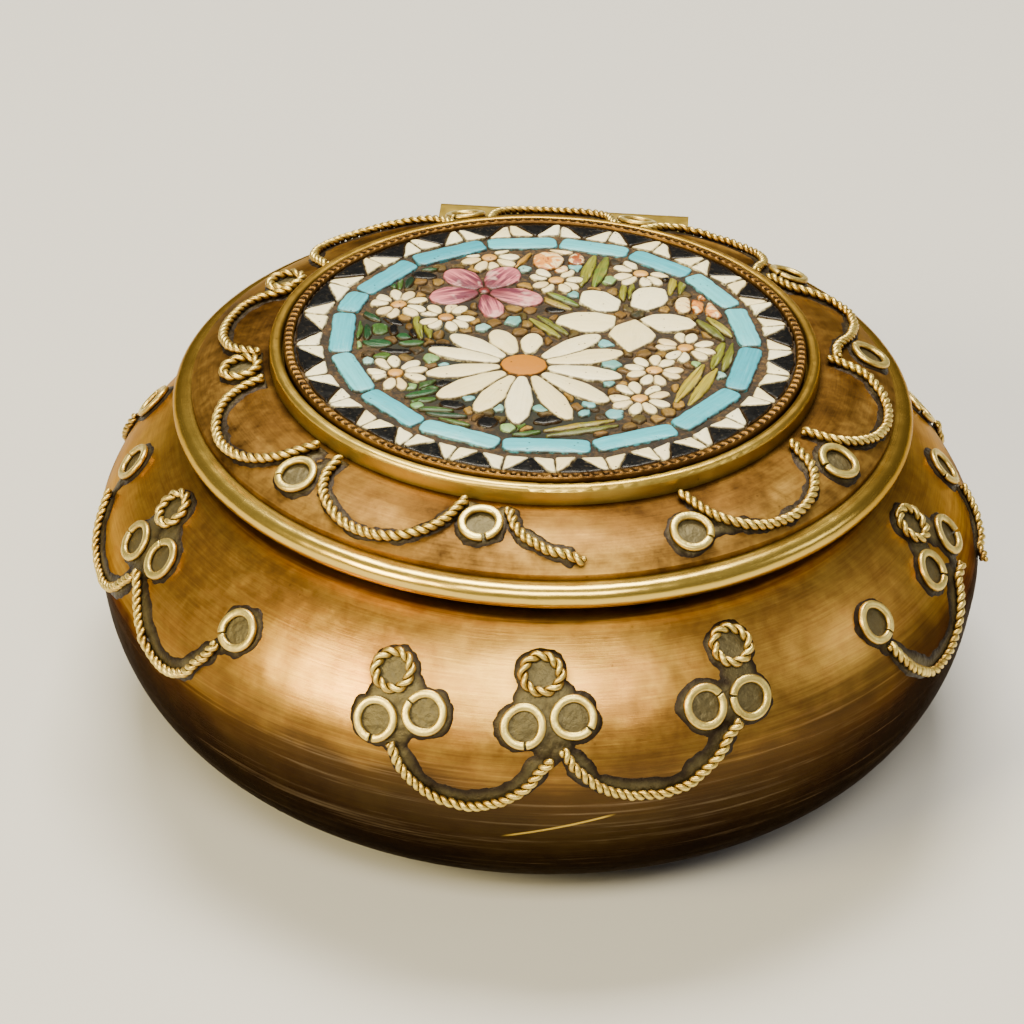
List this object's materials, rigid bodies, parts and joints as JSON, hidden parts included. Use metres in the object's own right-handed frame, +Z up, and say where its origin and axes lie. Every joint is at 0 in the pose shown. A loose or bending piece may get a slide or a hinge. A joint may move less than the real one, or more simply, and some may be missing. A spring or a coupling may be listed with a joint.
{
  "type": "pill box",
  "caption": "Round bulging gilt-brass pill box with a hinged domed lid, soldered twisted-wire scrolls and rings, and a glass flower mosaic in a milled tray on the lid.",
  "frame": {"origin": "centre of the flat base, on the face the box rests on", "axes": "+Z up along the axis of the round body, +Y towards the hinge at the back, -Y towards the front"},
  "size_m": [0.0453, 0.0455, 0.0205],
  "materials": {
    "gilt_body": "worn satin gilt, brush marks, dark patina below the bulge",
    "gilt_inside": "plain satin gilt",
    "gilt_hinge": "plain satin gilt",
    "gilt_wire": "pale worn gilt wire, grey solder round it",
    "gilt_lid": "dull brown gilt with fine turning marks",
    "gilt_polished": "bright, rubbed edge",
    "gilt_milled": "dull gilt with milled dots",
    "brass_pin": "drawn wire",
    "cement": "matt olive-brown cement",
    "turquoise_glass": "opaque glass, soft gloss",
    "white_glass": "opaque glass, soft gloss",
    "black_glass": "opaque glass, gloss",
    "orange_glass": "opaque glass, gloss",
    "pink_glass": "opaque glass with darker veins",
    "maroon_glass": "opaque glass, gloss",
    "peach_glass": "opaque glass, streaked",
    "ochre_glass": "opaque glass, gloss",
    "leaf_glass": "opaque glass, streaked yellow-green",
    "green_glass": "opaque glass, streaked dark green",
    "pale_turquoise_glass": "opaque glass, gloss",
    "pale_green_glass": "opaque glass, gloss",
    "olive_glass": "opaque glass, gloss"
  },
  "bodies": {
    "box": {"body_bowl": "gilt_body", "mouth_collar": "gilt_inside", "body_hinge_leaf": "gilt_hinge", "body_plain_rings": "gilt_wire", "body_twisted_rings": "gilt_wire", "body_scroll_wires": "gilt_wire"},
    "lid": {"lid_shell": "gilt_lid", "lid_rim": "gilt_polished", "lid_knuckles": "gilt_hinge", "hinge_pin": "brass_pin", "lid_scallop_wires": "gilt_wire", "broken_scallop_wire": "gilt_wire", "lid_plain_rings": "gilt_wire", "lid_twisted_rings": "gilt_wire", "mosaic_tray": "gilt_polished", "milled_strip": "gilt_milled", "mosaic_bed": "cement", "turquoise_border": "turquoise_glass", "white_border_slivers": "white_glass", "black_border_wedges": "black_glass", "white_flower": "white_glass", "daisy_petals": "white_glass", "daisy_centre": "orange_glass", "pink_flower_petals": "pink_glass", "pink_flower_centre": "maroon_glass", "rose_petals": "peach_glass", "small_daisy_petals": "white_glass", "small_daisy_centres": "ochre_glass", "leaf_slivers": "leaf_glass", "grass_blades": "green_glass", "turquoise_chips": "pale_turquoise_glass", "green_chips": "pale_green_glass", "black_chips": "black_glass", "packing_chips": "olive_glass"}
  },
  "joints": [
    {"name": "lid_hinge", "type": "hinge", "parent": "box", "child": "lid", "pos_m": [0, 0.01945, 0.01675], "axis": [-1, 0, 0], "range_deg": [0, 108]}
  ]
}
